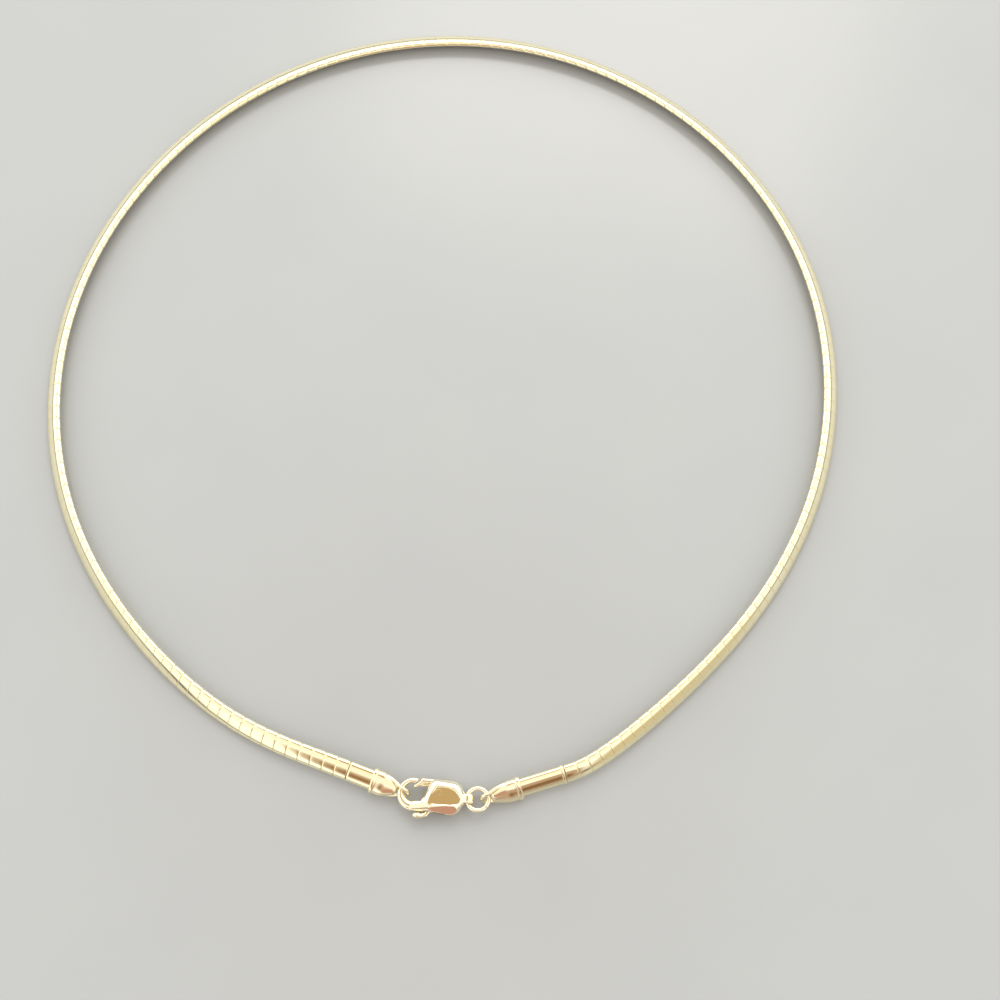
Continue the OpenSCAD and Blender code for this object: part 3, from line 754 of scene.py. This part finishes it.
# the same casting gold, a shade warmer where thumbs have worn it
lever_gold = polished_gold("polished_cast_gold_lever", "#fbf3da", "#f5e7c4", 0.06, 0.13, 0.7, 0.1)


def swing_x(y):
    """Where the end of the gate's swing crosses a height."""
    return PIVOT.x - math.sqrt(GATE_SWING_R ** 2 - (y - PIVOT.y) ** 2)


def clasp_lever():
    gate = [(swing_x(HOOK_R) + GATE_R, HOOK_R - GATE_R, GATE_R, LEVER_T),
            (PIVOT.x - GATE_BACK, HOOK_R - GATE_BACK_R, GATE_BACK_R, LEVER_T), BOSS]
    nose_x = swing_x(NOSE_TOP)
    nose, web = ([(nose_x + x, NOSE_TOP + y, r, h) for x, y, r, h in rows] for rows in (NOSE, WEB))
    bars = [hull(pair) for rows in (gate, nose, web, ARM) for pair in zip(rows, rows[1:])]
    knob = ball()
    bmesh.ops.scale(knob, vec=(TAB_L / 2, TAB_W / 2, TAB_H / 2), verts=knob.verts)
    bmesh.ops.translate(knob, vec=TAB_MID, verts=knob.verts)
    bore = drill(RIVET_R + BORE_GAP, 3 * LEVER_T)
    bmesh.ops.translate(bore, vec=PIVOT, verts=bore.verts)
    bm = less(cast([*bars, knob], LEVER_GRAIN, LEVER_TUMBLES), [bore])
    bm.transform(clasp_place)
    return finished(bm, "lever", lever_gold, "lever", "lever", "clasp_lever", sharp=60)


clasp_lever()

# The rivet: a drawn gold pin through the clasp's cheeks and the lever, its ends hammered flat and
# polished over, so that each shows as a faint round spot.
RIVET_L = 2.56
RIVET_EDGE = 0.04


def rivet():
    half, top_r = RIVET_L / 2, RIVET_R - RIVET_EDGE
    rings = [(0, -half), (top_r, -half), (RIVET_R, -half + RIVET_EDGE), (RIVET_R, 0),
             (RIVET_R, half - RIVET_EDGE), (top_r, half), (0, half)]

    def where(ring, i):
        r, z = ring
        a = 2 * math.pi * i / ROUND_POINTS
        return clasp_place @ (PIVOT + Vector((r * math.cos(a), r * math.sin(a), z)))

    bm = sweep(rings, ROUND_POINTS, where)
    return finished(bm, "rivet", lever_gold, "necklace", "lever", "clasp_rivet")


rivet()

# The table: a plain pale board that the necklace lies on, a hair below it, and not part of it. Its
# satin varnish blurs what it mirrors.
BOARD_SIZE = 3.0
BOARD_GAP = 0.03 * MM
board = bpy.data.materials.new("satin_pale_board")
tree = blank_tree(board)
place = add_node(tree, "ShaderNodeTexCoord")
grain = add_node(tree, "ShaderNodeTexNoise", {"Scale": 40.0, "Detail": 4.0},
                 {"Vector": (place, "Object")})
tone = add_node(tree, "ShaderNodeMix",
                {"data_type": "RGBA", 6: linear("#a9abad"), 7: linear("#afb1b2")},
                {0: (grain, "Fac")})
paint = add_node(tree, "ShaderNodeBsdfPrincipled", {"Roughness": 0.2}, {"Base Color": (tone, 2)})
add_node(tree, "ShaderNodeOutputMaterial", None, {"Surface": (paint, "BSDF")})
bm = bmesh.new()
bmesh.ops.create_grid(bm, x_segments=2, y_segments=2, size=BOARD_SIZE / 2)
bmesh.ops.translate(bm, vec=(0, 0, cad_box[0].z - BOARD_GAP), verts=bm.verts)
floor = in_scene("board", to_mesh(bm, "board"))
floor.data.materials.append(board)

# The light: a bright low horizon as from windows all round, brightest beyond the front of the
# necklace, and a thin dark skirting below it. A few soft patches are the rest of the room, which
# the gold mirrors, and a window lamp gives the soft shadows.
FRONT = [(0, "#77746f", 1), (0.06, "#77746f", 1), (0.12, "#ffffff", 1.3), (0.35, "#ffffff", 2.2),
         (0.8, "#fffef9", 1.8), (1, "#fffdf4", 1.15)]
AROUND = [(0, "#77746f", 1), (0.05, "#77746f", 1), (0.1, "#fffefb", 1.1), (0.3, "#fffefb", 1.5),
          (0.8, "#fffdf6", 1.15), (1, "#fffcf2", 1.15)]
# direction of a patch, how near to it the patch is full and how far it has faded (as the cosine of
# the angle), colour: an ochre ceiling, brown and pink on the clasp's side of the table, two thin
# dark streaks on the sleeves, and a tan one to the right
PATCHES = [
    ((-0.045, 0.09, 0.995), 0.992, 0.965, "#cbad80"),
    ((0.27, -0.94, 0.208), 0.985, 0.945, "#c6a996"),
    ((-0.08, -0.9, 0.42), 0.985, 0.94, "#c99a8c"),
    ((-0.346, -0.742, 0.574), 0.9962, 0.972, "#c3a58e"),
    ((0.34, -0.935, 0.1), 0.9995, 0.9945, "#8f6d52"),
    ((-0.38, -0.714, 0.588), 0.9995, 0.9965, "#9c7656"),
    ((0.78, -0.61, 0.09), 0.99, 0.92, "#dccdb0"),
]
LAMP_SIZE = 0.4
LAMP_WATTS = 1.5
LAMP_AT = Vector((0.1, 0.62, 0.68))
scene = bpy.context.scene
world = bpy.data.worlds.new("studio")
scene.world = world
tree = blank_tree(world)
way = add_node(tree, "ShaderNodeTexCoord")
part = add_node(tree, "ShaderNodeSeparateXYZ", None, {"Vector": (way, "Generated")})


def sky_ramp(stops):
    """A colour for each height; stops are the sine of the height, a hex colour and a gain."""
    node = add_node(tree, "ShaderNodeValToRGB", None, {"Fac": (part, "Z")})
    ramp = node.color_ramp
    while len(ramp.elements) < len(stops):
        ramp.elements.new(1.0)
    for element, (sine, colour, gain) in zip(ramp.elements, stops):
        element.position = sine
        element.color = [gain * c for c in linear(colour)[:3]] + [1]
    return node


facing = add_node(tree, "ShaderNodeMapRange",
                  {"From Min": -0.2, "From Max": 0.6, "interpolation_type": "SMOOTHSTEP"},
                  {"Value": (part, "Y")})
room = add_node(tree, "ShaderNodeMix", {"data_type": "RGBA"},
                {0: (facing, "Result"), 6: (sky_ramp(AROUND), "Color"),
                 7: (sky_ramp(FRONT), "Color")})
for direction, near, far, colour in PATCHES:
    toward = add_node(tree, "ShaderNodeVectorMath", {"operation": "DOT_PRODUCT", 1: direction},
                      {0: (way, "Generated")})
    patch = add_node(tree, "ShaderNodeMapRange",
                     {"From Min": far, "From Max": near, "interpolation_type": "SMOOTHSTEP"},
                     {"Value": (toward, "Value")})
    room = add_node(tree, "ShaderNodeMix", {"data_type": "RGBA", 7: linear(colour)},
                    {0: (patch, "Result"), 6: (room, 2)})
sky = add_node(tree, "ShaderNodeBackground", {"Strength": 1.0}, {"Color": (room, 2)})
add_node(tree, "ShaderNodeOutputWorld", None, {"Surface": (sky, "Background")})

lamp = bpy.data.lights.new("window", "AREA")
lamp.shape, lamp.size, lamp.energy = "SQUARE", LAMP_SIZE, LAMP_WATTS
lamp.color = linear("#fffaf0")[:3]
window = in_scene("window", lamp)
window.location = LAMP_AT
window.rotation_euler = (-LAMP_AT).to_track_quat("-Z", "Y").to_euler()

# The camera: a hand-held view from above the clasp, looking down at 73 degrees, which is 17 from
# straight down. Its lens frames the band as the photo does.
CAMERA_AT = (0.009471, -0.084628, 0.2171)
CAMERA_TURN = 17
SENSOR_MM = 36
LENS_MM = 50.4
camera_data = bpy.data.cameras.new("camera")
camera_data.sensor_width, camera_data.lens = SENSOR_MM, LENS_MM
camera_data.clip_start, camera_data.clip_end = 0.01, 20
camera = in_scene("camera", camera_data)
camera.location = CAMERA_AT
camera.rotation_euler = (math.radians(CAMERA_TURN), 0, 0)
scene.camera = camera
scene.view_settings.view_transform = "Standard"
